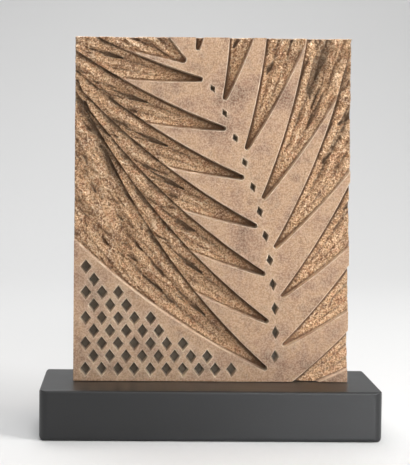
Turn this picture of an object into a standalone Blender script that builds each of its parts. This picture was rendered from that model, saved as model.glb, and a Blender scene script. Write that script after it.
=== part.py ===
"""A cast relief plaque standing on a black painted wooden base.

Metres, +Z up. The origin is under the middle of the base, and the carved
face looks along -Y. The relief is a frond: a smooth spine with pointed blades
on both sides, parted by sunk channels, above rows of lozenge sockets.
"""

import math

import bmesh
import bpy
from mathutils import Matrix

# The plaque: a flat-backed slab, carved from its front face.
PLAQUE_WIDTH = 0.240
PLAQUE_HEIGHT = 0.300
BACK_WALL = 0.0055
RELIEF_DEPTH = 0.009

# The base: a long block with rounded edges.
BASE_LENGTH = 0.291
BASE_DEPTH = 0.090
BASE_HEIGHT = 0.043
BASE_CORNER_RADIUS = 0.008
BASE_TOP_RADIUS = 0.002
BASE_FOOT_RADIUS = 0.0035
BASE_EDGE_STEPS = 4
BASE_SHARP_ANGLE = 30
SEAT_GAP = 0.0003

# How far right of the base's middle the plaque stands.
PLAQUE_SHIFT = 0.0015

# The frond's spine: a curve across the slab, as shares of its width and height.
SPINE = ((0.225, -0.03), (0.30, 0.50), (-0.14, 1.04))
SPINE_HALF_WIDTH_LOW = 0.0085
SPINE_HALF_WIDTH_HIGH = 0.0055

# The channels between the blades. They leave the spine at even steps, which
# are shares of its length, by turns on its left and its right. Lean and
# spread are in degrees, for the lowest and the highest channel of a side.
# Stations are the sections of a channel: a few round its tip, at angles in
# degrees, then more of them, which grow apart with the run.
FIRST_CHANNEL = 0.065
CHANNEL_STEP = 0.1325
CHANNEL_SIDES = (
    {"name": "left", "side": 1, "count": 7, "lag": 0.0, "lean": (60, 54), "spread": (8.4, 9.2)},
    {"name": "right", "side": -1, "count": 8, "lag": -0.5, "lean": (54, 42), "spread": (9.2, 8.4)},
)
CHANNEL_TIP_RADIUS = 0.0021
CHANNEL_BEND_RADIUS = 0.625
CHANNEL_TIP_ANGLES = (12, 40, 65)
CHANNEL_STATIONS = 12
CHANNEL_STATION_GROWTH = 1.5
CHANNEL_END_DEPTH = 0.0045
CHANNEL_SHALLOW_DEPTH = 0.0017
CHANNEL_TIP_GENTLE_SHARE = 0.8
STEEP_SIDE_FALL = 0.110
GENTLE_SIDE_FALL = 0.045
WALL_DRAFT = 0.0006
WALL_DRAFT_SHARE = 0.4
FLOOR_CROWN = 0.0011
FLOOR_CROWN_SHARE = 0.12

# The wide, shallow field in the top left corner, placed by shares of the
# slab's width and height.
FIELD_START = (-0.112, 0.935)
FIELD_HEADING = 148
FIELD_SPREAD = 19
FIELD_BEND_RADIUS = 2.5
FIELD_TIP_RADIUS = 0.003
FIELD_TIP_DEPTH = 0.0048

# The short gouges that score the sunk ground, pointed towards the spine. A
# place is how far out it lies and how far from the middle, as a share.
GOUGE_PLACES = ((0.070, -0.40), (0.112, 0.25), (0.150, -0.30))
FIELD_GOUGE_PLACES = ((0.024, 0.20), (0.046, -0.45), (0.054, 0.35))
GOUGE_LENGTH = 0.030
GOUGE_TIP_RADIUS = 0.0008
GOUGE_SPREAD = 6.5
GOUGE_BITE = 0.0024
GOUGE_TIP_START = 0.8
GOUGE_STATIONS = 3
GOUGE_EDGE = 0.006

# The lozenge sockets, in rows in the lower left corner and along the spine.
LOZENGE_CORNERS = 4
SOCKET_WIDTH = 0.0098
SOCKET_HEIGHT = 0.0126
SOCKET_DEPTH = 0.0070
SOCKET_DRAFT = 0.0010
SOCKET_PITCH = 0.0142
SOCKET_ROW_PITCH = 0.0112
SOCKET_MARGIN = 0.0105
SOCKET_LAND = 0.0085
SPINE_SOCKET_WIDTH = 0.0072
SPINE_SOCKET_LENGTH = 0.0125
SPINE_SOCKET_TAPER = 0.45
SPINE_SOCKETS_PER_STEP = 2
SPINE_SOCKET_LAG = 0.25

# How far the cutters stand clear of the slab's face.
CUT_CLEARANCE = 0.002

THICKNESS = BACK_WALL + RELIEF_DEPTH


def clear_scene():
    for obj in list(bpy.data.objects):
        bpy.data.objects.remove(obj, do_unlink=True)


def make_collection(name, hidden=False):
    collection = bpy.data.collections.new(name)
    bpy.context.scene.collection.children.link(collection)
    collection.hide_render = hidden
    return collection


def make_material(name, color, roughness, metallic):
    material = bpy.data.materials.new(name)
    material.use_nodes = True
    shader = material.node_tree.nodes["Principled BSDF"]
    shader.inputs["Base Color"].default_value = (*color, 1.0)
    shader.inputs["Roughness"].default_value = roughness
    shader.inputs["Metallic"].default_value = metallic
    return material


def move_to(obj, collection):
    for owner in list(obj.users_collection):
        owner.objects.unlink(obj)
    collection.objects.link(obj)


def mix(low, high, share):
    return low + (high - low) * share


def spine_point(share):
    """Place (x, z) and heading of the spine at a share of its length."""
    start, middle, end = SPINE
    x, z = (
        (1 - share) ** 2 * start[i] + 2 * share * (1 - share) * middle[i] + share**2 * end[i]
        for i in (0, 1)
    )
    run, rise = (
        (1 - share) * (middle[i] - start[i]) + share * (end[i] - middle[i]) for i in (0, 1)
    )
    heading = math.atan2(rise * PLAQUE_HEIGHT, run * PLAQUE_WIDTH)
    return x * PLAQUE_WIDTH, z * PLAQUE_HEIGHT, heading


def blade_channels():
    """The channels that part the blades: the left side's, then the right's."""
    channels = []
    for group in CHANNEL_SIDES:
        side = group["side"]
        for i in range(group["count"]):
            place = FIRST_CHANNEL + CHANNEL_STEP * (i + group["lag"])
            share = i / (group["count"] - 1)
            x, z, heading = spine_point(place)
            offset = mix(SPINE_HALF_WIDTH_LOW, SPINE_HALF_WIDTH_HIGH, place)
            across = heading + side * math.pi / 2
            channels.append({
                "name": f"{group['name']}_channel_{i + 1}",
                "x": x + offset * math.cos(across),
                "z": z + offset * math.sin(across),
                "heading": heading + side * math.radians(mix(*group["lean"], share)),
                "spread": math.radians(mix(*group["spread"], share)),
                "bend": -side / CHANNEL_BEND_RADIUS,
                "tip_radius": CHANNEL_TIP_RADIUS,
                "tip_depth": RELIEF_DEPTH,
                "steep": -side,
                "gouges": GOUGE_PLACES,
            })
    return channels


def corner_field():
    return {
        "name": "upper_field",
        "x": FIELD_START[0] * PLAQUE_WIDTH,
        "z": FIELD_START[1] * PLAQUE_HEIGHT,
        "heading": math.radians(FIELD_HEADING),
        "spread": math.radians(FIELD_SPREAD),
        "bend": 1 / FIELD_BEND_RADIUS,
        "tip_radius": FIELD_TIP_RADIUS,
        "tip_depth": FIELD_TIP_DEPTH,
        "steep": -1,
        "gouges": FIELD_GOUGE_PLACES,
    }


def place_in_channel(channel, along, left):
    """The face point (x, z) at a run along a channel's arc and to its left."""
    turn = along * channel["bend"]
    chord = 2 * math.sin(turn / 2) / channel["bend"]
    heading = channel["heading"]
    x = channel["x"] + chord * math.cos(heading + turn / 2)
    z = channel["z"] + chord * math.sin(heading + turn / 2)
    return x - left * math.sin(heading + turn), z + left * math.cos(heading + turn)


def run_in_channel(channel, x, z):
    """The other way round: the run and the distance left of a face point."""
    radius = 1 / channel["bend"]
    centre_x = channel["x"] - radius * math.sin(channel["heading"])
    centre_z = channel["z"] + radius * math.cos(channel["heading"])
    start = math.atan2(channel["z"] - centre_z, channel["x"] - centre_x)
    turn = math.remainder(math.atan2(z - centre_z, x - centre_x) - start, 2 * math.pi)
    left = radius - math.copysign(math.hypot(x - centre_x, z - centre_z), radius)
    return turn * radius, left


def half_width(channel, along):
    radius = channel["tip_radius"]
    if along < 0:
        return math.sqrt(max(radius**2 - along**2, 0.0))
    return radius + along * math.tan(channel["spread"])


def side_depths(channel, along):
    """Depth of the floor at the steep side and at the gentle side."""
    run = max(along, 0.0)
    tip = channel["tip_depth"]
    steep = mix(CHANNEL_END_DEPTH, tip, math.exp(-run / STEEP_SIDE_FALL))
    gentle_tip = CHANNEL_TIP_GENTLE_SHARE * tip
    gentle = mix(CHANNEL_SHALLOW_DEPTH, gentle_tip, math.exp(-run / GENTLE_SIDE_FALL))
    return steep, min(gentle, steep)


def floor_depth(channel, x, z):
    """Depth of a channel's floor under a face point, or 0 outside it."""
    along, left = run_in_channel(channel, x, z)
    half = half_width(channel, along)
    if along < 0 or abs(left) > half:
        return 0.0
    steep, gentle = side_depths(channel, along)
    return mix(gentle, steep, (left / half * channel["steep"] + 1) / 2)


def add_cutter(name, bm, cutters, slab):
    mesh = bpy.data.meshes.new(name)
    bmesh.ops.recalc_face_normals(bm, faces=bm.faces)
    bm.to_mesh(mesh)
    bm.free()
    obj = bpy.data.objects.new(name, mesh)
    cutters.objects.link(obj)
    obj.parent = slab
    obj.hide_render = True
    obj.display_type = "WIRE"


def loft_cutter(name, channel, sections, cutters, slab):
    """A cutter through sections of (run, half width, left depth, right depth)."""
    bm = bmesh.new()
    rings = []
    for along, half, left_depth, right_depth in sections:
        floor_half = half - min(WALL_DRAFT, WALL_DRAFT_SHARE * half)
        crown = min(FLOOR_CROWN, FLOOR_CROWN_SHARE * half)
        middle_depth = (left_depth + right_depth) / 2 - crown
        outline = (
            (half, -CUT_CLEARANCE),
            (-half, -CUT_CLEARANCE),
            (-half, 0.0),
            (-floor_half, right_depth),
            (0.0, middle_depth),
            (floor_half, left_depth),
            (half, 0.0),
        )
        ring = []
        for left, depth in outline:
            x, z = place_in_channel(channel, along, left)
            ring.append(bm.verts.new((x, depth, z)))
        rings.append(ring)
    for near, far in zip(rings, rings[1:]):
        for i, vertex in enumerate(near):
            j = (i + 1) % len(near)
            bm.faces.new((vertex, near[j], far[j], far[i]))
    bm.faces.new(rings[0])
    bm.faces.new(rings[-1])
    add_cutter(name, bm, cutters, slab)


def cut_channel(channel, cutters, slab):
    """Cuts a channel from its round tip out past the slab's edge."""
    reach = math.hypot(PLAQUE_WIDTH, PLAQUE_HEIGHT)
    last = CHANNEL_STATIONS - 1
    radius = channel["tip_radius"]
    runs = [-radius * math.cos(math.radians(angle)) for angle in CHANNEL_TIP_ANGLES]
    runs += [reach * (i / last) ** CHANNEL_STATION_GROWTH for i in range(CHANNEL_STATIONS)]
    sections = []
    for along in runs:
        steep, gentle = side_depths(channel, along)
        depths = (steep, gentle) if channel["steep"] > 0 else (gentle, steep)
        sections.append((along, half_width(channel, along), *depths))
    loft_cutter(channel["name"], channel, sections, cutters, slab)


def shows_at(channel, channels, x, z):
    """Whether the channel's floor is the ground at a point well inside the slab."""
    if abs(x) > PLAQUE_WIDTH / 2 - GOUGE_EDGE or z > PLAQUE_HEIGHT - GOUGE_EDGE:
        return False
    return floor_depth(channel, x, z) >= max(floor_depth(other, x, z) for other in channels)


def cut_gouges(channels, cutters, slab):
    """Cuts short wedges that are deep at the tip and run out to nothing."""
    for channel in channels:
        for number, (along, shift) in enumerate(channel["gouges"]):
            x, z = place_in_channel(channel, along, shift * half_width(channel, along))
            gouge = {
                "x": x,
                "z": z,
                "heading": channel["heading"] + along * channel["bend"],
                "spread": math.radians(GOUGE_SPREAD),
                "bend": channel["bend"],
                "tip_radius": GOUGE_TIP_RADIUS,
            }
            end_x, end_z = place_in_channel(gouge, GOUGE_LENGTH, 0.0)
            if not (shows_at(channel, channels, x, z) and shows_at(channel, channels, end_x, end_z)):
                continue
            tip_depth = floor_depth(channel, x, z) + GOUGE_BITE
            end_depth = floor_depth(channel, end_x, end_z)
            runs = [-GOUGE_TIP_START * GOUGE_TIP_RADIUS]
            runs += [GOUGE_LENGTH * i / GOUGE_STATIONS for i in range(GOUGE_STATIONS + 1)]
            sections = []
            for run in runs:
                depth = mix(tip_depth, end_depth, max(run, 0.0) / GOUGE_LENGTH)
                sections.append((run, half_width(gouge, run), depth, depth))
            name = f"{channel['name']}_gouge_{number + 1}"
            loft_cutter(name, gouge, sections, cutters, slab)


def cut_socket(name, place, width, length, cutters, slab):
    """Cuts a lozenge socket, long along its heading, with drafted walls."""
    x, z, heading = place
    draft = SOCKET_DRAFT / width
    flare = draft * CUT_CLEARANCE / SOCKET_DEPTH
    bm = bmesh.new()
    bmesh.ops.create_cone(
        bm,
        cap_ends=True,
        segments=LOZENGE_CORNERS,
        radius1=0.5 - draft,
        radius2=0.5 + flare,
        depth=SOCKET_DEPTH + CUT_CLEARANCE,
    )
    bmesh.ops.scale(bm, vec=(length, width, 1.0), verts=bm.verts)
    turned = (
        Matrix.Translation((x, (SOCKET_DEPTH - CUT_CLEARANCE) / 2, z))
        @ Matrix.Rotation(-heading, 4, "Y")
        @ Matrix.Rotation(math.pi / 2, 4, "X")
    )
    bmesh.ops.transform(bm, matrix=turned, verts=bm.verts)
    add_cutter(name, bm, cutters, slab)


def cut_socket_rows(lowest_channel, cutters, slab):
    """Cuts staggered rows of sockets in the land under the lowest channel."""
    start = -PLAQUE_WIDTH / 2 + SOCKET_MARGIN
    rows = int((PLAQUE_HEIGHT - SOCKET_MARGIN) / SOCKET_ROW_PITCH)
    columns = int((lowest_channel["x"] - start) / SOCKET_PITCH)
    for row in range(rows):
        z = SOCKET_MARGIN + row * SOCKET_ROW_PITCH
        for column in range(columns):
            x = start + (column + 0.5 * (row % 2)) * SOCKET_PITCH
            along, left = run_in_channel(lowest_channel, x, z)
            if left - half_width(lowest_channel, along) < SOCKET_LAND:
                continue
            name = f"socket_{row + 1}_{column + 1}"
            cut_socket(name, (x, z, math.pi / 2), SOCKET_WIDTH, SOCKET_HEIGHT, cutters, slab)


def cut_spine_sockets(cutters, slab):
    """Cuts a socket in the spine between each channel's tip and the next."""
    for i in range(SPINE_SOCKETS_PER_STEP * (CHANNEL_SIDES[0]["count"] - 1)):
        share = FIRST_CHANNEL + CHANNEL_STEP * (i / SPINE_SOCKETS_PER_STEP + SPINE_SOCKET_LAG)
        size = 1 - SPINE_SOCKET_TAPER * share
        cut_socket(
            f"spine_socket_{i + 1}",
            spine_point(share),
            SPINE_SOCKET_WIDTH * size,
            SPINE_SOCKET_LENGTH * size,
            cutters,
            slab,
        )


def make_plaque(parts, cutters, bronze):
    bpy.ops.mesh.primitive_cube_add(size=1)
    plaque = bpy.context.object
    plaque.name = plaque.data.name = "plaque"
    plaque.data.transform(
        Matrix.Translation((0, THICKNESS / 2, PLAQUE_HEIGHT / 2))
        @ Matrix.Diagonal((PLAQUE_WIDTH, THICKNESS, PLAQUE_HEIGHT, 1))
    )
    plaque.location = (PLAQUE_SHIFT, -THICKNESS / 2, BASE_HEIGHT + SEAT_GAP)
    plaque.data.materials.append(bronze)
    move_to(plaque, parts)

    channels = blade_channels() + [corner_field()]
    for channel in channels:
        cut_channel(channel, cutters, plaque)
    cut_gouges(channels, cutters, plaque)
    cut_socket_rows(channels[0], cutters, plaque)
    cut_spine_sockets(cutters, plaque)

    carve = plaque.modifiers.new("carve", "BOOLEAN")
    carve.operation = "DIFFERENCE"
    carve.solver = "EXACT"
    carve.operand_type = "COLLECTION"
    carve.collection = cutters


def make_base(parts, paint):
    bpy.ops.mesh.primitive_cube_add(size=1)
    base = bpy.context.object
    base.name = base.data.name = "base"
    base.data.transform(
        Matrix.Translation((0, 0, BASE_HEIGHT / 2))
        @ Matrix.Diagonal((BASE_LENGTH, BASE_DEPTH, BASE_HEIGHT, 1))
    )
    base.data.materials.append(paint)
    move_to(base, parts)

    widest = max(BASE_CORNER_RADIUS, BASE_TOP_RADIUS, BASE_FOOT_RADIUS)
    weights = base.data.attributes.new("bevel_weight_edge", "FLOAT", "EDGE")
    for edge in base.data.edges:
        heights = [base.data.vertices[i].co.z for i in edge.vertices]
        radius = BASE_CORNER_RADIUS
        if min(heights) > BASE_HEIGHT / 2:
            radius = BASE_TOP_RADIUS
        elif max(heights) < BASE_HEIGHT / 2:
            radius = BASE_FOOT_RADIUS
        weights.data[edge.index].value = radius / widest
    rounding = base.modifiers.new("rounded edges", "BEVEL")
    rounding.limit_method = "WEIGHT"
    rounding.width = widest
    rounding.segments = BASE_EDGE_STEPS
    base.data.shade_smooth()
    base.data.set_sharp_from_angle(angle=math.radians(BASE_SHARP_ANGLE))


def main():
    clear_scene()
    parts = make_collection("relief_plaque")
    cutters = make_collection("cutters", hidden=True)
    bronze = make_material("cast bronze", (0.46, 0.29, 0.18), 0.45, 1.0)
    paint = make_material("black paint", (0.045, 0.046, 0.048), 0.5, 0.0)
    make_plaque(parts, cutters, bronze)
    make_base(parts, paint)


main()
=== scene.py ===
import math

import bmesh
import bpy
import numpy as np
from mathutils import Matrix, Vector
from mathutils.geometry import delaunay_2d_cdt


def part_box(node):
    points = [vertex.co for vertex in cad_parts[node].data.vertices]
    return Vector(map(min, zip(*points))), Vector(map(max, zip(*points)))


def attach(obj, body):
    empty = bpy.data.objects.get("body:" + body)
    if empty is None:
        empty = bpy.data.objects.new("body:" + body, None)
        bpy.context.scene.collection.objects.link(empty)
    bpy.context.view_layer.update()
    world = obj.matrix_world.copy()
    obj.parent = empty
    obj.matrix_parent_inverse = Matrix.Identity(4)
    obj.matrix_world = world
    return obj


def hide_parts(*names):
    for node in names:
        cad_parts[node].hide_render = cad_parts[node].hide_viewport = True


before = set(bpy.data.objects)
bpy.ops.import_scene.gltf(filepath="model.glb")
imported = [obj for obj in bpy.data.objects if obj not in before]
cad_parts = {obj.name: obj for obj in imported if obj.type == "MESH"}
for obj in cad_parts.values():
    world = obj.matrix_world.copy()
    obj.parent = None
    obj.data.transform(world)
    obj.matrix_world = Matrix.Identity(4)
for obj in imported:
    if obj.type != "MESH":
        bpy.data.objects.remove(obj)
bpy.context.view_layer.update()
scene = bpy.context.scene
print("frame loaded:", sorted(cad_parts))


# Shader maths: a wire is a socket that can be added, scaled and so on.
class Wire:
    def __init__(self, shader, socket):
        self.shader = shader
        self.socket = socket

    def math(self, operation, *values, clamp=False):
        settings = {"operation": operation, "use_clamp": clamp}
        return self.shader.node("ShaderNodeMath", settings, dict(enumerate(values)))

    def __add__(self, other):
        return self.math("ADD", self, other)

    def __radd__(self, other):
        return self.math("ADD", other, self)

    def __sub__(self, other):
        return self.math("SUBTRACT", self, other)

    def __rsub__(self, other):
        return self.math("SUBTRACT", other, self)

    def __mul__(self, other):
        return self.math("MULTIPLY", self, other)

    def __rmul__(self, other):
        return self.math("MULTIPLY", other, self)

    def clamped(self):
        return self.math("ADD", self, 0.0, clamp=True)

    def step(self, low, high):  # 0 below low, 1 above high, smooth between
        settings = {"interpolation_type": "SMOOTHSTEP"}
        values = {"Value": self, "From Min": low, "From Max": high}
        return self.shader.node("ShaderNodeMapRange", settings, values)


class Shader:
    def __init__(self, name):
        self.material = bpy.data.materials.new(name)
        self.material.use_nodes = True
        self.tree = self.material.node_tree
        self.surface = self.tree.nodes["Principled BSDF"]

    def node(self, kind, settings=None, values=None, out=0):
        made = self.tree.nodes.new(kind)
        for name, setting in (settings or {}).items():
            if name == "stops":
                ramp = made.color_ramp.elements
                while len(ramp) < len(setting):
                    ramp.new(1.0)
                for element, (position, shade) in zip(ramp, setting):
                    element.position = position
                    element.color = (*shade, 1.0)
            else:
                setattr(made, name, setting)
        for name, value in (values or {}).items():
            self.feed(made.inputs[name], value)
        return Wire(self, made.outputs[out])

    def feed(self, socket, value):
        if isinstance(value, Wire):
            self.tree.links.new(value.socket, socket)
        else:
            socket.default_value = value

    def mix(self, share, first, second, blend="MIX"):  # two colours
        settings = {"data_type": "RGBA", "blend_type": blend, "clamp_factor": True}
        first, second = ((*c, 1.0) if isinstance(c, tuple) else c for c in (first, second))
        return self.node("ShaderNodeMix", settings, {0: share, 6: first, 7: second}, out=2)

    def mask(self, name):
        return self.node("ShaderNodeAttribute", {"attribute_name": name}, out=2)

    def place(self, long=(1, 1, 1), turn=0.0):  # turned first, then drawn out by these factors
        at = self.node("ShaderNodeTexCoord", out=3)
        values = {"Vector": at, "Scale": long, "Rotation": (0, turn, 0)}
        return self.node("ShaderNodeMapping", {"vector_type": "TEXTURE"}, values)

    def noise(self, size, detail=3.0, rough=0.55, at=None, twist=0.0):
        values = {
            "Vector": at or self.place(),
            "Scale": 1 / size,
            "Detail": detail,
            "Roughness": rough,
            "Distortion": twist,
        }
        return self.node("ShaderNodeTexNoise", None, values)

    def finish(self, **values):
        for name, value in values.items():
            self.feed(self.surface.inputs[name.replace("_", " ")], value)
        return self.material


def rgb(red, green, blue):  # screen values, 0 to 255, as linear shares
    return tuple((c / 255 / 12.92) if c < 10.3 else ((c / 255 + 0.055) / 1.055) ** 2.4
                 for c in (red, green, blue))


# The plate's relief. Lengths are metres; u runs right from the plate's middle, v up from its foot.
plateLow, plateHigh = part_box("plaque")
plate = {
    "width": plateHigh.x - plateLow.x,
    "height": plateHigh.z - plateLow.z,
    "thickness": plateHigh.y - plateLow.y,
    "rim": 0.0004,           # rounding of the plate's outer edges
    "edgeStep": 0.0011,      # point spacing along the rim
    "rimRings": (0.0004, 0.0011),
    "sideRings": 5,
    "backStep": 0.011,
    "sideGrain": 0.0024, "sideRoughness": 0.00022,
    "plainGround": 0.32,     # how much the back and sides look like the sunk ground
    "sharpAngle": 62,
}
halfU = plate["width"] / 2 - plate["rim"]  # the front face ends here
lowV, highV = plate["rim"], plate["height"] - plate["rim"]
relief = {
    "spine": ((0.225, -0.03), (0.30, 0.50), (-0.14, 1.04)),  # shares of width and height
    "spineHalf": (0.0085, 0.0055),
    "firstChannel": 0.065,
    "channelStep": 0.1325,
    "sides": (               # lean and spread in degrees, lowest and highest channel
        {"side": 1, "count": 7, "lag": 0.0, "lean": (60, 54), "spread": (8.4, 9.2)},
        {"side": -1, "count": 8, "lag": -0.5, "lean": (54, 42), "spread": (9.2, 8.4)},
    ),
    "tipRadius": 0.0021,
    "bendRadius": 0.625,
    "tipDepth": 0.009,
    "endDepth": 0.0045,
    "shallowDepth": 0.0017,
    "steepFall": 0.110,
    "gentleFall": 0.045,
    "crown": 0.0011,
    "crownShare": 0.12,
    "wallStart": -0.00025,   # where a wall starts and ends, inwards from its outline
    "wallEnd": 0.00065,
    "rings": (-0.0011, -0.00025, 0.0, 0.0002, 0.00042, 0.00065, 0.00115),
    "ringStep": 0.0013,
    "fade": 0.0016,          # how soon the grain sets in beside a wall
}
cornerField = {
    "start": (-0.112, 0.935), "heading": 148, "spread": 19, "bendRadius": 2.5,
    "tipRadius": 0.003, "tipDepth": 0.0048, "steep": -1,
}
gouges = {
    "places": ((0.070, -0.40), (0.112, 0.25), (0.150, -0.30)),
    "fieldPlaces": ((0.024, 0.20), (0.046, -0.45), (0.054, 0.35)),
    "length": 0.030, "tipRadius": 0.0008, "spread": 6.5, "bite": 0.0024, "edge": 0.006,
    "rings": (-0.0005, -0.00015, 0.00008, 0.0003),
    "ringStep": 0.0011,
    "wallStart": -0.00015,
    "wallEnd": 0.0003,
    "scoreCount": 46,        # more of them, only in the fine surface
    "scoreLength": (0.012, 0.023),
    "scoreBite": (0.0012, 0.0024),
    "scoreSpread": 14,
    "scoreRadius": 0.0010,
    "scoreSwing": 16,
    "scoreFall": 1.8,        # above 1 a score stays deep for longer
    "scoreMargin": 0.003,    # least distance from a channel's wall
    "scoreClear": 0.0015, "scoreFloor": 0.001,  # ground this deep lies all round it
    "reach": 0.004,          # no gouge's edge shows further beyond its length
}
sockets = {
    "width": 0.0098, "height": 0.0126, "depth": 0.0070, "draft": 0.0010,
    "pitch": 0.0142, "rowPitch": 0.0112, "margin": 0.0105, "land": 0.0085,
    "spineWidth": 0.0072, "spineLength": 0.0125, "spineTaper": 0.45,
    "rings": (-0.0009, -0.0002, 0.0001, 0.00045, 0.0008, 0.0011),
    "ringPoints": 7,         # on each of a lozenge's four sides
    "rounding": 0.0002,
    "reach": 0.009,          # no socket's edge shows further from its middle
}
grain = {
    "step": 0.00087,         # point spacing in the sunk ground
    "landStep": 0.0030,
    "bead": 0.0021, "beadHeight": 0.00074,
    "grit": 0.0013, "gritHeight": 0.00054,
    "lump": 0.0060, "lumpHeight": 0.0013,
    "furrow": (0.045, 0.0044), "furrowHeight": 0.0012, "furrowShare": 0.30,
    "ledge": 0.017, "ledgeHeight": 0.0066, "ledges": 6,
    "strip": (0.090, 0.013), "stripHeight": 0.0078, "strips": 6,
    "crustSink": 0.0008,     # how much lower the crust lies on the whole
    "drop": 0.15,            # the steep share of a ledge or strip
    "zone": 0.060,           # ledges and strips take turns over this length
    "flutes": 3, "fluteHeight": 0.0023, "fluteFrom": 0.004, "fluteTo": 0.013,
    "warp": (0.014, 0.005),
    "crustFrom": 0.040, "crustTo": 0.105,
    "leastDepth": 0.00035,
    "landWave": 0.026, "landWaveHeight": 0.00010,
    "edge": 0.0012,          # width of the rubbed line, partly a painted highlight, along a land's edge
}
seeds = {"bead": 3, "grit": 5, "lump": 7, "furrow": 11, "ledge": 13, "warp": 17, "score": 19,
         "wave": 23, "jitter": 29, "side": 31, "strip": 37, "zone": 41}


def between(low, high, share):
    return low + (high - low) * share


def smooth(x):
    x = np.clip(x, 0.0, 1.0)
    return x * x * (3 - 2 * x)


def valueNoise(x, y, seed):  # 0 to 1, one lattice cell a unit
    table = np.random.default_rng(seed).random((256, 256))
    i, j = np.floor(x).astype(int), np.floor(y).astype(int)
    fx, fy = smooth(x - i), smooth(y - j)
    i0, i1, j0, j1 = i % 256, (i + 1) % 256, j % 256, (j + 1) % 256
    low = between(table[i0, j0], table[i1, j0], fx)
    high = between(table[i0, j1], table[i1, j1], fx)
    return between(low, high, fy)


def fractal(x, y, seed, octaves=3):
    total, weight = 0.0, 0.0
    for k in range(octaves):
        total = total + valueNoise(x * 2**k + 7.3 * k, y * 2**k - 3.1 * k, seed + k) / 2**k
        weight += 1 / 2**k
    return total / weight


def terraces(field, count, drop):  # turns a smooth field into flat steps with steep edges
    steps = field * count
    return (np.floor(steps) + smooth((steps % 1 - 1 + drop) / drop)) / count


def beads(x, y, seed):  # rounded grains: 1 at a grain's middle, 0 in the creases
    generator = np.random.default_rng(seed)
    offsets = generator.random((2, 256, 256))
    i, j = np.floor(x).astype(int), np.floor(y).astype(int)
    nearest = np.full(np.shape(x), 9.0)
    for di in (-1, 0, 1):
        for dj in (-1, 0, 1):
            a, b = (i + di) % 256, (j + dj) % 256
            gap = (i + di + offsets[0, a, b] - x) ** 2 + (j + dj + offsets[1, a, b] - y) ** 2
            nearest = np.minimum(nearest, gap)
    return 1 - np.clip(nearest, 0, 1)


def spinePoint(share):
    a, b, c = relief["spine"]
    x, y = ((1 - share) ** 2 * a[i] + 2 * share * (1 - share) * b[i] + share**2 * c[i]
            for i in (0, 1))
    run, rise = ((1 - share) * (b[i] - a[i]) + share * (c[i] - b[i]) for i in (0, 1))
    heading = math.atan2(rise * plate["height"], run * plate["width"])
    return x * plate["width"], y * plate["height"], heading


def bladeChannels():
    found = []
    for group in relief["sides"]:
        side = group["side"]
        for i in range(group["count"]):
            place = relief["firstChannel"] + relief["channelStep"] * (i + group["lag"])
            share = i / (group["count"] - 1)
            u, v, heading = spinePoint(place)
            offset = between(*relief["spineHalf"], place)
            across = heading + side * math.pi / 2
            found.append({
                "u": u + offset * math.cos(across),
                "v": v + offset * math.sin(across),
                "heading": heading + side * math.radians(between(*group["lean"], share)),
                "spread": math.radians(between(*group["spread"], share)),
                "bend": -side / relief["bendRadius"],
                "tipRadius": relief["tipRadius"],
                "tipDepth": relief["tipDepth"],
                "steep": -side,
                "crust": 0.0,
                "gouges": gouges["places"],
            })
    return found


def fieldChannel():
    return {
        "u": cornerField["start"][0] * plate["width"],
        "v": cornerField["start"][1] * plate["height"],
        "heading": math.radians(cornerField["heading"]),
        "spread": math.radians(cornerField["spread"]),
        "bend": 1 / cornerField["bendRadius"],
        "tipRadius": cornerField["tipRadius"],
        "tipDepth": cornerField["tipDepth"],
        "steep": cornerField["steep"],
        "crust": 1.0,
        "gouges": gouges["fieldPlaces"],
    }


def placeIn(channel, along, left):
    turn = along * channel["bend"]
    chord = 2 * np.sin(turn / 2) / channel["bend"]
    heading = channel["heading"]
    u = channel["u"] + chord * np.cos(heading + turn / 2) - left * np.sin(heading + turn)
    v = channel["v"] + chord * np.sin(heading + turn / 2) + left * np.cos(heading + turn)
    return u, v


def runIn(channel, u, v):
    radius = 1 / channel["bend"]
    centreU = channel["u"] - radius * math.sin(channel["heading"])
    centreV = channel["v"] + radius * math.cos(channel["heading"])
    start = math.atan2(channel["v"] - centreV, channel["u"] - centreU)
    turn = np.arctan2(v - centreV, u - centreU) - start
    turn = (turn + np.pi) % (2 * np.pi) - np.pi
    left = radius - math.copysign(1, radius) * np.hypot(u - centreU, v - centreV)
    return turn * radius, left


def halfWidth(channel, along):
    return channel["tipRadius"] + np.maximum(along, 0) * math.tan(channel["spread"])


def insideOf(channel, along, left):  # distance inwards from the channel's outline
    sides = (halfWidth(channel, along) - abs(left)) * math.cos(channel["spread"])
    return np.where(along > 0, sides, channel["tipRadius"] - np.hypot(along, left))


def sideDepths(channel, along):
    run = np.maximum(along, 0.0)
    tip = channel["tipDepth"]
    steep = between(relief["endDepth"], tip, np.exp(-run / relief["steepFall"]))
    gentle = between(relief["shallowDepth"], 0.8 * tip, np.exp(-run / relief["gentleFall"]))
    return steep, np.minimum(gentle, steep)


def floorOf(channel, along, left):
    half = halfWidth(channel, along)
    steep, gentle = sideDepths(channel, along)
    across = np.clip(left / half, -1, 1)
    crown = np.minimum(relief["crown"], relief["crownShare"] * half)
    slope = between(gentle, steep, (across * channel["steep"] + 1) / 2)
    return slope - crown * (1 - across**2)


def channelCut(channel, u, v):
    along, left = runIn(channel, u, v)
    inside = insideOf(channel, along, left)
    wall = smooth((inside - relief["wallStart"]) / (relief["wallEnd"] - relief["wallStart"]))
    return floorOf(channel, along, left) * wall, inside, along, left


channels = bladeChannels() + [fieldChannel()]


def bareDepth(u, v, skip=None):  # depth of the channels alone, in one number a point
    depth = np.zeros(np.shape(u))
    for channel in channels:
        if channel is not skip:
            depth = np.maximum(depth, channelCut(channel, u, v)[0])
    return depth


def showsAt(channel, u, v):
    if abs(u) > plate["width"] / 2 - gouges["edge"] or v > plate["height"] - gouges["edge"]:
        return False
    return channelCut(channel, u, v)[0] >= bareDepth(u, v) - 1e-9


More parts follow.
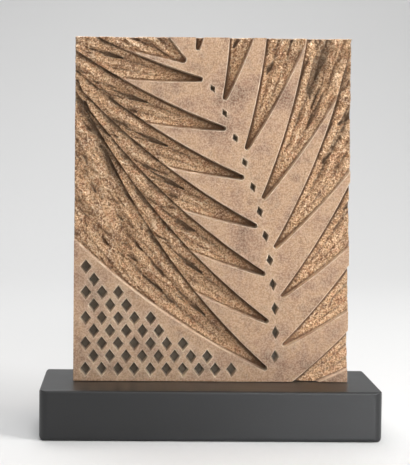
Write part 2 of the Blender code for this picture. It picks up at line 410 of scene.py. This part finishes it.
def makeGouge(channel, along, shift):
    u, v = placeIn(channel, along, shift * halfWidth(channel, along))
    gouge = {
        "u": u, "v": v, "heading": channel["heading"] + along * channel["bend"],
        "spread": math.radians(gouges["spread"]), "bend": channel["bend"],
        "tipRadius": gouges["tipRadius"], "length": gouges["length"], "fall": 1.0,
    }
    endU, endV = placeIn(gouge, gouge["length"], 0.0)
    if not (showsAt(channel, u, v) and showsAt(channel, endU, endV)):
        return None
    gouge["tipDepth"] = float(bareDepth(u, v)) + gouges["bite"]
    gouge["endDepth"] = float(bareDepth(endU, endV))
    return gouge


def makeScores():  # small random wedges in the crust
    generator = np.random.default_rng(seeds["score"])
    found = []
    while len(found) < gouges["scoreCount"]:
        u = generator.uniform(-plate["width"] / 2, plate["width"] / 2)
        v = generator.uniform(0, plate["height"])
        length = generator.uniform(*gouges["scoreLength"])
        bite = generator.uniform(*gouges["scoreBite"])
        swing = math.radians(generator.uniform(-1, 1) * gouges["scoreSwing"])
        owner = max(channels, key=lambda c: float(channelCut(c, u, v)[0]))
        depth, inside, along, left = channelCut(owner, u, v)
        crusted = owner["crust"] or along > grain["crustFrom"]
        if inside < gouges["scoreMargin"] or not crusted:
            continue
        score = {
            "u": u, "v": v, "heading": owner["heading"] + along * owner["bend"] + swing,
            "spread": math.radians(gouges["scoreSpread"]), "bend": owner["bend"],
            "tipRadius": gouges["scoreRadius"],
            "length": length, "tipDepth": float(depth) + bite, "fall": gouges["scoreFall"],
        }
        runs = np.linspace(-0.002, length, 6)
        half = halfWidth(score, runs) + gouges["scoreClear"]
        sides = [placeIn(score, runs, shift * half) for shift in (-1, 0, 1)]
        depths = bareDepth(*np.hstack(sides))
        score["endDepth"] = float(bareDepth(*placeIn(score, length, 0.0)))
        if min(depths) > gouges["scoreFloor"]:
            found.append(score)
    return found


bigGouges = [made for channel in channels for place in channel["gouges"]
             if (made := makeGouge(channel, *place))]
scores = makeScores()


def gougeCut(gouge, u, v):
    along, left = runIn(gouge, u, v)
    inside = insideOf(gouge, along, left)
    span = gouges["wallEnd"] - gouges["wallStart"]
    wall = smooth((inside - gouges["wallStart"]) / span) * (along < gouge["length"])
    share = np.clip(along / gouge["length"], 0, 1) ** gouge["fall"]
    return between(gouge["tipDepth"], gouge["endDepth"], share) * wall


def lozenges():  # (u, v, heading, half width, half length) of every socket
    found = []
    lowest = channels[0]
    start = -plate["width"] / 2 + sockets["margin"]
    for row in range(int((plate["height"] - sockets["margin"]) / sockets["rowPitch"])):
        v = sockets["margin"] + row * sockets["rowPitch"]
        for column in range(int((lowest["u"] - start) / sockets["pitch"])):
            u = start + (column + 0.5 * (row % 2)) * sockets["pitch"]
            along, left = runIn(lowest, u, v)
            if left - halfWidth(lowest, along) >= sockets["land"]:
                found.append((u, v, math.pi / 2, sockets["width"] / 2, sockets["height"] / 2))
    for i in range(2 * (relief["sides"][0]["count"] - 1)):
        share = relief["firstChannel"] + relief["channelStep"] * (i / 2 + 0.25)
        size = 1 - sockets["spineTaper"] * share
        found.append((*spinePoint(share), sockets["spineWidth"] * size / 2,
                      sockets["spineLength"] * size / 2))
    return found


lozengeList = lozenges()


def lozengeCut(lozenge, u, v):
    centreU, centreV, heading, halfAcross, halfAlong = lozenge
    du, dv = u - centreU, v - centreV
    along = du * math.cos(heading) + dv * math.sin(heading)
    across = dv * math.cos(heading) - du * math.sin(heading)
    unit = 1 / math.hypot(1 / halfAcross, 1 / halfAlong)
    inside = (1 - abs(across) / halfAcross - abs(along) / halfAlong) * unit
    rounding = sockets["rounding"]
    share = np.clip((inside + rounding) / (sockets["draft"] + rounding), 0, 1)
    return sockets["depth"] * share ** 1.25 * (2.0 - share) ** 0.4, inside


def channelLayers(u, v):  # depth, masks, and where each point lies in the channel that owns it
    depth, ground, crust, edge, run, side = np.zeros((6, len(u)))
    half = np.ones(len(u))
    for channel in channels:
        cut, inside, along, left = channelCut(channel, u, v)
        edge = np.maximum(edge, smooth(1 - abs(inside) / grain["edge"]))
        owns = cut > depth
        depth = np.where(owns, cut, depth)
        run = np.where(owns, along, run)
        side = np.where(owns, left, side)
        half = np.where(owns, halfWidth(channel, along), half)
        ground = np.maximum(ground, smooth(inside / relief["fade"]))
        rough = smooth((along - grain["crustFrom"]) / (grain["crustTo"] - grain["crustFrom"]))
        crust = np.where(owns, np.maximum(rough, channel["crust"]), crust)
    for gouge in bigGouges + scores:
        near = np.hypot(u - gouge["u"], v - gouge["v"]) < gouge["length"] + gouges["reach"]
        depth[near] = np.maximum(depth[near], gougeCut(gouge, u[near], v[near]))
    return depth, ground, crust, edge, run, side, half


def castGrain(u, v, crust, run, side, half):  # how far the rough ground stands up
    size, swing = grain["warp"]
    warpU = u + swing * (fractal(u / size, v / size, seeds["warp"]) - 0.5)
    warpV = v + swing * (fractal(u / size + 40, v / size, seeds["warp"]) - 0.5)
    ledge = fractal(warpU / grain["ledge"], warpV / grain["ledge"], seeds["ledge"], 3)
    ledge = terraces(ledge, grain["ledges"], grain["drop"]) - 0.5
    long, wide = grain["strip"]
    bent = side + swing * 0.5 * (fractal(run / size, side / size, seeds["warp"]) - 0.5)
    strip = fractal(run / long, bent / wide, seeds["strip"], 2)
    strip = terraces(strip, grain["strips"], grain["drop"]) - 0.5
    long, wide = grain["furrow"]
    furrow = abs(2 * fractal(run / long, bent / wide, seeds["furrow"], 2) - 1)
    furrow = np.minimum(furrow / grain["furrowShare"], 1) - 1
    flute = abs(np.cos(np.pi / 2 * grain["flutes"] * np.clip(bent / half, -1, 1))) - 0.5
    span = grain["fluteTo"] - grain["fluteFrom"]
    flute = flute * smooth((half - grain["fluteFrom"]) / span)
    zone = smooth(fractal(u / grain["zone"], v / grain["zone"], seeds["zone"], 2) * 4 - 1.5)
    bead = beads(warpU / grain["bead"], warpV / grain["bead"], seeds["bead"]) - 0.6
    grit = valueNoise(u / grain["grit"], v / grain["grit"], seeds["grit"]) - 0.5
    lump = fractal(u / grain["lump"], v / grain["lump"], seeds["lump"], 2) - 0.5
    return (bead * grain["beadHeight"] + grit * grain["gritHeight"]
            + lump * grain["lumpHeight"] * (0.4 + 0.6 * crust)
            + furrow * grain["furrowHeight"] * (0.15 + 0.85 * crust)
            + flute * grain["fluteHeight"]
            + strip * grain["stripHeight"] * crust * (1 - 0.7 * zone)
            + ledge * grain["ledgeHeight"] * crust * (0.3 + 0.7 * zone)
            - grain["crustSink"] * crust)


def surfaceAt(u, v):  # depth below the front plane, and the masks that the finish uses
    depth, ground, crust, edge, run, side, half = channelLayers(u, v)
    raised = castGrain(u, v, crust, run, side, half)
    sunk = np.maximum(depth - raised * ground, grain["leastDepth"] * ground)
    wave = fractal(u / grain["landWave"], v / grain["landWave"], seeds["wave"], 2)
    depth = sunk + wave * grain["landWaveHeight"] * (1 - ground)
    pit = np.zeros(len(u))
    for lozenge in lozengeList:
        near = np.hypot(u - lozenge[0], v - lozenge[1]) < sockets["reach"]
        cut, inside = lozengeCut(lozenge, u[near], v[near])
        depth[near] = np.maximum(depth[near], cut)
        edge[near] = np.maximum(edge[near], smooth(1 - abs(inside) / grain["edge"]))
        pit[near] = np.maximum(pit[near], smooth(inside / sockets["draft"]))
    return depth, ground, edge * (1 - ground), pit


# Points of the front face: rings beside every outline, grains between, few on the smooth lands.
def channelRings(channel):
    lines = []
    reach = math.hypot(plate["width"], plate["height"])
    runs = np.arange(0.0, reach, relief["ringStep"])
    arc = np.radians(np.linspace(90, 270, 9))[1:-1]
    half = halfWidth(channel, runs)
    kept = {}
    for side in (1, -1):
        left = side * (half + 0.0006)
        u, v = placeIn(channel, runs, left)
        floor = floorOf(channel, runs, side * half)
        kept[side] = floor > bareDepth(u, v, channel) + 0.00015
    for ring in relief["rings"]:
        radius = channel["tipRadius"] - ring
        cosine = math.cos(channel["spread"])
        leftU, leftV = placeIn(channel, runs, half - ring / cosine)
        tipU, tipV = placeIn(channel, radius * np.cos(arc), radius * np.sin(arc))
        rightU, rightV = placeIn(channel, runs, ring / cosine - half)
        u = np.concatenate([leftU[::-1], tipU, rightU])
        v = np.concatenate([leftV[::-1], tipV, rightV])
        shown = np.concatenate([kept[1][::-1], np.ones(len(arc), bool), kept[-1]])
        lines.append((u, v, shown))
    return lines


def gougeRings(gouge):
    lines = []
    runs = np.arange(0.0, gouge["length"], gouges["ringStep"])
    arc = np.radians(np.linspace(90, 270, 5))[1:-1]
    half = halfWidth(gouge, runs)
    for ring in gouges["rings"]:
        radius = gouge["tipRadius"] - ring
        leftU, leftV = placeIn(gouge, runs, half - ring)
        tipU, tipV = placeIn(gouge, radius * np.cos(arc), radius * np.sin(arc))
        rightU, rightV = placeIn(gouge, runs, ring - half)
        u = np.concatenate([leftU[::-1], tipU, rightU])
        v = np.concatenate([leftV[::-1], tipV, rightV])
        lines.append((u, v, np.ones(len(u), bool)))
    return lines


def lozengeRings(lozenge):
    centreU, centreV, heading, halfAcross, halfAlong = lozenge
    lines = []
    corners = np.array([(1, 0), (0, 1), (-1, 0), (0, -1), (1, 0)], float)
    count = sockets["ringPoints"]
    for ring in sockets["rings"]:
        size = 1 - ring * math.hypot(1 / halfAcross, 1 / halfAlong)
        spots = [between(corners[i], corners[i + 1], k / count)
                 for i in range(4) for k in range(count)]
        spots = np.array(spots + [spots[0]]) * (halfAlong * size, halfAcross * size)
        u = centreU + spots[:, 0] * math.cos(heading) - spots[:, 1] * math.sin(heading)
        v = centreV + spots[:, 0] * math.sin(heading) + spots[:, 1] * math.cos(heading)
        lines.append((u, v, np.ones(len(u), bool)))
    return lines


pointCell = 0.0005  # the points are kept apart by a lattice of these cells
lattice = tuple(int(plate[side] / pointCell) + 8 for side in ("width", "height"))


def cellOf(u, v):
    i = (np.asarray(u) + plate["width"] / 2) / pointCell
    return i.astype(int) + 4, (np.asarray(v) / pointCell).astype(int) + 4


def inLattice(i, j):
    return np.clip(i, 0, lattice[0] - 1), np.clip(j, 0, lattice[1] - 1)


def crowding(points, reach):  # cells within reach of the points
    taken = np.zeros(lattice, bool)
    i, j = cellOf(points[:, 0], points[:, 1])
    for di in range(-reach, reach + 1):
        for dj in range(-reach, reach + 1):
            if di * di + dj * dj <= reach * reach:
                taken[inLattice(i + di, j + dj)] = True
    return taken


def inPlate(u, v):
    return (abs(u) < halfU - 2e-4) & (v > lowV + 2e-4) & (v < highV - 2e-4)


def scatter(step, wanted, taken):  # a jittered lattice of points, in the cells that are free
    generator = np.random.default_rng(seeds["jitter"])
    us = np.arange(-halfU + step, halfU - step / 2, step)
    vs = np.arange(lowV + step, highV - step / 2, step * 0.866)
    u, v = np.meshgrid(us, vs)
    u = u + (np.arange(len(vs)) % 2 * step / 2)[:, None]
    u = (u + generator.uniform(-0.18, 0.18, u.shape) * step).ravel()
    v = (v + generator.uniform(-0.18, 0.18, v.shape) * step).ravel()
    kept = inPlate(u, v) & wanted(u, v) & ~taken[inLattice(*cellOf(u, v))]
    return list(zip(u[kept].tolist(), v[kept].tolist()))


def stretches(u, v, shown):  # the unbroken stretches of a line's shown points
    found = [[]]
    for point, seen in zip(zip(u.tolist(), v.tolist()), shown.tolist()):
        if seen:
            found[-1].append(point)
        elif found[-1]:
            found.append([])
    return [stretch for stretch in found if stretch]


def frontPoints():
    spots, edges = [], []

    def addLine(points):
        first = len(spots)
        spots.extend(points)
        edges.extend((first + i, first + i + 1) for i in range(len(points) - 1))

    lines = [line for channel in channels for line in channelRings(channel)]
    lines += [line for lozenge in lozengeList for line in lozengeRings(lozenge)]
    lines += [line for gouge in bigGouges for line in gougeRings(gouge)]
    for u, v, shown in lines:
        for stretch in stretches(u, v, shown & inPlate(u, v)):
            addLine(stretch)
    ringSpots = np.array(spots)

    rimU = np.linspace(-halfU, halfU, round(2 * halfU / plate["edgeStep"]) + 1)
    rimV = np.linspace(lowV, highV, round((highV - lowV) / plate["edgeStep"]) + 1)
    rim = ([(u, lowV) for u in rimU[:-1]] + [(halfU, v) for v in rimV[:-1]]
           + [(u, highV) for u in rimU[:0:-1]] + [(-halfU, v) for v in rimV[:0:-1]])
    addLine(rim)
    edges.append((len(spots) - 1, len(spots) - len(rim)))
    ringCells = crowding(ringSpots, 1)
    for gap in plate["rimRings"]:
        across, low, high = halfU - gap, lowV + gap, highV - gap
        ring = ([(u, v) for u in rimU[1:-1] for v in (low, high)]
                + [(u, v) for u in (-across, across) for v in rimV[1:-1]])
        spots.extend(point for point in ring if not ringCells[cellOf(*point)])

    rough = scatter(grain["step"], lambda u, v: bareDepth(u, v) > 0.0008, ringCells)
    smoothLand = scatter(grain["landStep"], lambda u, v: bareDepth(u, v) < 0.0001,
                         crowding(ringSpots, 4))
    print("front points:", len(ringSpots), "on rings,", len(rough), "in the ground,",
          len(smoothLand), "on the lands")
    return spots + rough + smoothLand, edges


def blurred(field, reach):  # a soft blur of a grid, by three box blurs along each axis
    for axis in (0, 1):
        for _ in range(3):
            padded = np.pad(field, [(reach + 1, reach) if a == axis else (0, 0) for a in (0, 1)],
                            mode="edge")
            total = np.cumsum(padded, axis=axis)
            high = np.take(total, range(2 * reach + 1, total.shape[axis]), axis=axis)
            low = np.take(total, range(0, total.shape[axis] - 2 * reach - 1), axis=axis)
            field = (high - low) / (2 * reach + 1)
    return field


def hollowness(u, v):  # how far a point lies under or over what is around it, in metres
    cell = 0.0007
    us = np.arange(-plate["width"] / 2, plate["width"] / 2 + cell, cell)
    vs = np.arange(0, plate["height"] + cell, cell)
    gridU, gridV = np.meshgrid(us, vs, indexing="ij")
    depth = surfaceAt(gridU.ravel(), gridV.ravel())[0].reshape(gridU.shape)
    found = []
    x = np.clip((u + plate["width"] / 2) / cell, 0, len(us) - 1.001)
    y = np.clip(v / cell, 0, len(vs) - 1.001)
    i, j = x.astype(int), y.astype(int)
    for reach in (2, 6):
        field = depth - blurred(depth, reach)
        low = between(field[i, j], field[i + 1, j], x - i)
        high = between(field[i, j + 1], field[i + 1, j + 1], x - i)
        found.append(between(low, high, y - j))
    return found


def roundTheRim(u, v):  # the rim's points in order, their way round, and which way is out
    atSide, atTop, atFoot = (abs(gap) < 1e-6 for gap in (abs(u) - halfU, v - highV, v - lowV))
    rim = np.nonzero(atSide | atTop | atFoot)[0]
    width, height = 2 * halfU, highV - lowV
    way = np.select([atFoot, abs(u - halfU) < 1e-6, atTop],
                    [u + halfU, width + v - lowV, width + height + halfU - u],
                    2 * width + height + highV - v)
    rim = rim[np.argsort(way[rim])]
    outward = np.column_stack([np.sign(u) * atSide, atTop * 1.0 - atFoot * 1.0])
    return rim, way[rim], outward[rim]


def sideRings(points, depth, rim, way, outward):  # from the front's rim round to the back
    startDepth, endDepth = depth[rim] + plate["rim"], plate["thickness"] - plate["rim"]
    rings = []
    for level in np.linspace(0, 1, plate["sideRings"] + 1):
        y = between(startDepth, endDepth, level)
        rough = fractal(way / plate["sideGrain"], y / plate["sideGrain"], seeds["side"], 2)
        rough = rough * plate["sideRoughness"] * (0.3 if level in (0, 1) else 1.0)
        place = points[rim] + outward * (plate["rim"] - rough)[:, None]
        rings.append(np.column_stack([place[:, 0], y, place[:, 1]]))
    flat = np.full(len(rim), plate["thickness"])
    return rings + [np.column_stack([points[rim, 0], flat, points[rim, 1]])]


def backFaces(points, rim, first):  # over the last ring, whose vertices start at this number
    step = plate["backStep"]
    inner = [(u, v) for u in np.arange(-halfU + step, halfU, step)
             for v in np.arange(lowV + step, highV, step)]
    loop = points[rim].tolist()
    loopEdges = [(i, (i + 1) % len(loop)) for i in range(len(loop))]
    back = delaunay_2d_cdt([Vector(s) for s in loop + inner], loopEdges, [], 1, 1e-7, True)
    numbers, extra = [], []
    for place, sources in zip(back[0], back[3]):
        onRim = [source for source in sources if source < len(loop)]
        numbers.append(first + (onRim[0] if onRim else len(loop) + len(extra)))
        if not onRim:
            extra.append((place[0], plate["thickness"], place[1]))
    return extra, [tuple(numbers[i] for i in reversed(face)) for face in back[2]]


def makePlate():
    spots, edges = frontPoints()
    result = delaunay_2d_cdt([Vector(s) for s in spots], edges, [], 1, 1e-6, False)
    points = np.array([tuple(p) for p in result[0]])
    faces = [tuple(f) for f in result[2]]
    print("front face:", len(points), "points,", len(faces), "triangles")

    u, v = points[:, 0], points[:, 1]
    depth, ground, edge, pit = surfaceAt(u, v)
    fine, broad = hollowness(u, v)
    masks = {"ground": ground, "hollow": fine * ground, "recess": broad, "edge": edge,
             "pit": pit, "deep": depth / relief["tipDepth"] * (1 - pit)}

    rim, way, outward = roundTheRim(u, v)
    rings = sideRings(points, depth, rim, way, outward)
    count = len(points)
    near = rim
    for ring in rings:
        far = np.arange(count, count + len(rim))
        faces += zip(near, far, np.roll(far, -1), np.roll(near, -1))
        near = far
        count += len(rim)
    extra, more = backFaces(points, rim, count - len(rim))
    faces += more

    vertices = np.vstack([np.column_stack([u, depth, v])] + rings + [extra])
    vertices = vertices + np.array([(plateLow.x + plateHigh.x) / 2, plateLow.y, plateLow.z])
    mesh = bpy.data.meshes.new("reliefPlate")
    mesh.from_pydata(vertices.tolist(), [], [tuple(int(i) for i in f) for f in faces])
    for name, values in masks.items():
        full = np.full(len(vertices), plate["plainGround"] if name == "ground" else 0, np.float32)
        full[:len(points)] = values
        mesh.attributes.new(name, "FLOAT", "POINT").data.foreach_set("value", full)
    made = bmesh.new()
    made.from_mesh(mesh)
    bmesh.ops.recalc_face_normals(made, faces=made.faces)
    loose = [vert for vert in made.verts if not vert.link_faces]
    bmesh.ops.delete(made, geom=loose, context="VERTS")
    openEdges = sum(1 for edge in made.edges if len(edge.link_faces) != 2)
    made.to_mesh(mesh)
    made.free()
    mesh.shade_smooth()
    mesh.set_sharp_from_angle(angle=math.radians(plate["sharpAngle"]))
    piece = bpy.data.objects.new("reliefPlate", mesh)
    scene.collection.objects.link(piece)
    triangles = sum(len(p.vertices) - 2 for p in mesh.polygons)
    print("plate:", triangles, "triangles, open edges", openEdges)
    return piece


bronze = {
    "land": ((0.37, rgb(150, 116, 97)), (0.46, rgb(186, 148, 123)), (0.54, rgb(204, 166, 134)),
             (0.63, rgb(166, 130, 108))),
    "ground": ((0.30, rgb(182, 145, 120)), (0.42, rgb(222, 183, 148)), (0.52, rgb(240, 205, 166)),
               (0.62, rgb(226, 180, 144)), (0.74, rgb(198, 165, 136))),
    "grit": rgb(138, 99, 71),
    # a light colour: a painted highlight on the sunk grain's tops, and light specks and bright
    # scratches on the lands
    "highlightAndBrightMetal": rgb(255, 233, 204),
    # patina colour, also used as painted shade in creases and recesses
    "patinaAndCreaseShade": rgb(118, 84, 60),
    # darker patina, also used as painted shade in the deepest parts
    "deepPatinaAndShade": rgb(106, 84, 64),
    "pitPatina": rgb(100, 98, 88),
    # rubbed metal colour, also a painted highlight along the edges
    "rubbedAndHighlit": rgb(255, 236, 212),
    "blotchSize": 0.040, "mottleSize": 0.013, "speckSize": 0.0015,
    "scratchWidth": 0.0006, "scratchLength": 40, "scratchTurns": (-52, 24),
    "nickSize": 0.0026,
    "hatchWidth": 0.0004, "hatchLength": 9, "hatchTurn": 38,
    "fineSize": 0.0008,
    "landRoughness": 0.38,
    "groundRoughness": 0.29,
    "bump": 0.0033,
}


def bronzeMaterial():
    shader = Shader("castBronze")
    ground = shader.mask("ground")
    hollow = shader.mask("hollow")
    recess = shader.mask("recess")
    edge = shader.mask("edge")
    deep = shader.mask("deep")
    pit = shader.mask("pit")

    # Colour: clouded lands, mottled grain with painted highlights on its tops, patina with painted
    # shade in creases and the deepest parts, and worn edges with a painted highlight.
    blotch = shader.noise(bronze["blotchSize"], 4.0, 0.6)
    mottle = shader.noise(bronze["mottleSize"], 5.0, 0.65)
    speck = shader.noise(bronze["speckSize"], 2.0, 0.6)
    land = shader.node("ShaderNodeValToRGB", {"stops": bronze["land"]},
                       {"Fac": blotch * 0.7 + mottle * 0.3})
    land = shader.mix(speck.step(0.35, 0.65) * 0.36, land, bronze["highlightAndBrightMetal"])
    sunk = shader.node("ShaderNodeValToRGB", {"stops": bronze["ground"]}, {"Fac": mottle})
    sunk = shader.mix((1 - speck).step(0.50, 0.62) * 0.62, sunk, bronze["grit"])
    # painted highlight: the grain's raised tops, where the bump stands up, are lightened
    sunk = shader.mix(speck.step(0.52, 0.61) * 0.95, sunk, bronze["highlightAndBrightMetal"])
    scratchLong = (1, 1, bronze["scratchLength"])
    scratches = [shader.noise(bronze["scratchWidth"], 1.0, 0.4,
                              shader.place(scratchLong, math.radians(turn)))
                 for turn in bronze["scratchTurns"]]
    scratch = (scratches[0].step(0.72, 0.76) + scratches[1].step(0.74, 0.78)).clamped()
    nick = shader.noise(bronze["nickSize"], 2.0, 0.5).step(0.68, 0.74)
    land = shader.mix(scratch * 0.42, land, bronze["highlightAndBrightMetal"])
    land = shader.mix(nick * 0.35, land, bronze["grit"])
    colour = shader.mix(ground, land, sunk)
    # patina and painted shade: creases and broad recesses are darkened by how hollow they lie
    creaseShadeAndPatina = (hollow.step(0.00010, 0.00080) * 0.46 + recess.step(0.0006, 0.0032) * 0.38).clamped()
    colour = shader.mix(creaseShadeAndPatina, colour, bronze["patinaAndCreaseShade"])
    # patina and painted shade: the deepest parts of the channels are darkened by depth
    dark = deep.step(0.66, 1.00) * 0.7
    colour = shader.mix(dark, colour, bronze["deepPatinaAndShade"])
    colour = shader.mix(pit * 0.85, colour, bronze["pitPatina"])
    # wear and painted highlight: a light, broken line along every land's and socket's edge
    wornAndHighlitEdge = edge * (0.40 + mottle.step(0.42, 0.58) * 0.60)
    colour = shader.mix(wornAndHighlitEdge, colour, bronze["rubbedAndHighlit"])

    # Roughness and relief finer than the mesh.
    hatchAt = shader.place((1, 1, bronze["hatchLength"]), math.radians(bronze["hatchTurn"]))
    hatch = shader.noise(bronze["hatchWidth"], 3.0, 0.6, hatchAt)
    fine = shader.noise(bronze["fineSize"], 2.0, 0.6)
    landRough = bronze["landRoughness"] + mottle * 0.10 + hatch * 0.06
    groundRough = bronze["groundRoughness"] + speck * 0.10 + creaseShadeAndPatina * 0.20
    roughness = landRough * (1 - ground) + groundRough * ground - wornAndHighlitEdge * 0.10
    landHeight = hatch * 0.26 + fine * 0.28 + mottle * 0.34 - (nick + scratch) * 0.12
    groundHeight = speck * 1.0 + fine * 0.20 + hatch * 0.40
    height = landHeight * (1 - ground) + groundHeight * ground
    bump = shader.node("ShaderNodeBump", None, {
        "Strength": 1.0, "Distance": bronze["bump"], "Height": height})
    metallic = 1 - (creaseShadeAndPatina * 0.5 + dark * 0.6 + pit * 0.7).clamped()
    return shader.finish(Base_Color=colour, Roughness=roughness, Metallic=metallic, Normal=bump)


plateBody = makePlate()
plateBody.data.materials.append(bronzeMaterial())
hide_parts("plaque")
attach(plateBody, "root")
print("plate ready")


# The base: a painted block with softly rounded edges.
baseLow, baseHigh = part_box("base")
block = {
    "cornerRadius": 0.008, "topRadius": 0.0021, "footRadius": 0.0036, "segments": 7,
    "paint": rgb(13, 14, 16), "paintWorn": rgb(24, 25, 27), "dust": rgb(120, 118, 114),
    "roughness": 0.37, "ior": 1.55, "bump": 0.00012,
    "cloudSize": 0.045, "peelSize": 0.0016, "dustSize": 0.0009,
    "woodGrain": 0.0032, "woodLength": 17,
}


def makeBlock():
    size = baseHigh - baseLow
    made = bmesh.new()
    bmesh.ops.create_cube(made, size=1.0)
    bmesh.ops.scale(made, vec=size, verts=made.verts)
    bmesh.ops.translate(made, vec=(baseLow + baseHigh) / 2, verts=made.verts)
    weight = made.edges.layers.float.new("bevel_weight_edge")
    widest = max(block["cornerRadius"], block["topRadius"], block["footRadius"])
    middle = (baseLow.z + baseHigh.z) / 2
    for edge in made.edges:
        heights = [vert.co.z for vert in edge.verts]
        radius = block["cornerRadius"]
        if min(heights) > middle:
            radius = block["topRadius"]
        elif max(heights) < middle:
            radius = block["footRadius"]
        edge[weight] = radius / widest
    mesh = bpy.data.meshes.new("paintedBlock")
    made.to_mesh(mesh)
    made.free()
    piece = bpy.data.objects.new("paintedBlock", mesh)
    scene.collection.objects.link(piece)
    rounding = piece.modifiers.new("rounding", "BEVEL")
    rounding.limit_method = "WEIGHT"
    rounding.width = widest
    rounding.segments = block["segments"]
    rounding.harden_normals = True
    mesh.shade_smooth()
    return piece


def paintMaterial():
    shader = Shader("blackPaint")
    cloud = shader.noise(block["cloudSize"], 3.0)
    peel = shader.noise(block["peelSize"], 2.0, 0.5)
    woodAt = shader.place((block["woodLength"], 1, 1))
    wood = shader.noise(block["woodGrain"], 4.0, 0.6, woodAt, 0.4)
    dust = shader.noise(block["dustSize"], 2.0).step(0.62, 0.74)
    colour = shader.mix(cloud * 0.5 + wood * 0.3, block["paint"], block["paintWorn"])
    colour = shader.mix(dust * 0.10, colour, block["dust"])
    roughness = block["roughness"] + (cloud - 0.5) * 0.10 + (wood - 0.5) * 0.06
    bump = shader.node("ShaderNodeBump", None, {
        "Strength": 0.12, "Distance": block["bump"], "Height": peel * 0.6 + wood * 0.5})
    return shader.finish(Base_Color=colour, Roughness=roughness, IOR=block["ior"], Normal=bump)


blockBody = makeBlock()
blockBody.data.materials.append(paintMaterial())
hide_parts("base")
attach(blockBody, "root")
print("base ready")


# The stage: a floor that sweeps up into a pale wall.
sweep = {
    "width": 16.0, "front": -8.0, "wallAt": 2.4, "wallTop": 3.4, "bend": 1.4, "bendSteps": 24,
    "colour": rgb(216, 216, 216), "roughness": 0.85,
}


def makeSweep():
    profile = [(sweep["front"], 0.0)]
    centreY, centreZ = sweep["wallAt"] - sweep["bend"], sweep["bend"]
    for i in range(sweep["bendSteps"] + 1):
        angle = math.radians(90 * i / sweep["bendSteps"])
        profile.append((centreY + sweep["bend"] * math.sin(angle),
                        centreZ - sweep["bend"] * math.cos(angle)))
    profile.append((sweep["wallAt"], sweep["wallTop"]))
    half = sweep["width"] / 2
    vertices = [(x, y, z) for y, z in profile for x in (-half, half)]
    faces = [(2 * i, 2 * i + 1, 2 * i + 3, 2 * i + 2) for i in range(len(profile) - 1)]
    mesh = bpy.data.meshes.new("sweep")
    mesh.from_pydata(vertices, [], faces)
    mesh.shade_smooth()
    piece = bpy.data.objects.new("sweep", mesh)
    scene.collection.objects.link(piece)
    shader = Shader("palePaper")
    mesh.materials.append(shader.finish(
        Base_Color=(*sweep["colour"], 1.0), Roughness=sweep["roughness"]))


makeSweep()
print("stage ready")


room = {"colour": (0.98, 0.99, 1.0), "strength": 0.36}
lights = {
    "key": {"at": (1.45, -0.62, 1.22), "size": 0.85, "power": 32.5, "colour": (1.0, 0.99, 0.97)},
    "side": {"at": (0.48, -1.00, 0.09), "aim": (0.07, 0.0, -0.10), "spread": 26,
             "size": 0.16, "power": 0.19, "colour": (0.96, 0.98, 1.0)},
    "fill": {"at": (0.25, -1.35, 0.85), "size": 0.8, "power": 6.8, "colour": (1.0, 0.99, 0.98)},
    "top": {"at": (-0.30, 0.85, 1.9), "size": 1.5, "power": 25, "colour": (1.0, 1.0, 1.0)},
    "floor": {"at": (0.08, -0.75, 1.30), "aim": (0.08, -0.55, 0.0), "spread": 55,
              "size": 0.45, "power": 0.35, "colour": (1.0, 1.0, 1.0)},
}
plateMiddle = (0, 0, 0.18)


def addLight(name, facts):
    data = bpy.data.lights.new(name, "AREA")
    data.shape = "SQUARE"
    data.size = facts["size"]
    data.energy = facts["power"]
    data.color = facts["colour"]
    data.spread = math.radians(facts.get("spread", 180))
    lamp = bpy.data.objects.new(name, data)
    scene.collection.objects.link(lamp)
    lamp.location = facts["at"]
    aim = Vector(facts.get("aim", plateMiddle))
    lamp.rotation_euler = (aim - lamp.location).to_track_quat("-Z", "Y").to_euler()


for name, facts in lights.items():
    addLight(name, facts)
world = bpy.data.worlds.new("softRoom")
world.use_nodes = True
backdrop = world.node_tree.nodes["Background"]
backdrop.inputs["Color"].default_value = (*room["colour"], 1.0)
backdrop.inputs["Strength"].default_value = room["strength"]
scene.world = world
scene.view_settings.view_transform = "Standard"

view = {  # angles in degrees
    "at": (-0.0673, -1.0042, 0.2616), "yaw": 0.788, "pitch": -2.26, "roll": 0.52,
    "lens": 89.01, "shift": (0.12, -0.12),
}


def addCamera():
    yaw, pitch, roll = (math.radians(view[k]) for k in ("yaw", "pitch", "roll"))
    ahead = Vector((math.sin(yaw) * math.cos(pitch), math.cos(yaw) * math.cos(pitch),
                    math.sin(pitch)))
    right = Vector((math.cos(yaw), -math.sin(yaw), 0))
    up = right.cross(ahead)
    tiltedRight = right * math.cos(roll) + up * math.sin(roll)
    tiltedUp = up * math.cos(roll) - right * math.sin(roll)
    data = bpy.data.cameras.new("camera")
    data.lens = view["lens"]
    data.shift_x, data.shift_y = view["shift"]
    data.clip_end = 30
    camera = bpy.data.objects.new("camera", data)
    scene.collection.objects.link(camera)
    turned = Matrix((tiltedRight, tiltedUp, -ahead)).transposed().to_4x4()
    camera.matrix_world = Matrix.Translation(view["at"]) @ turned
    scene.camera = camera


addCamera()
print("lights and camera ready")
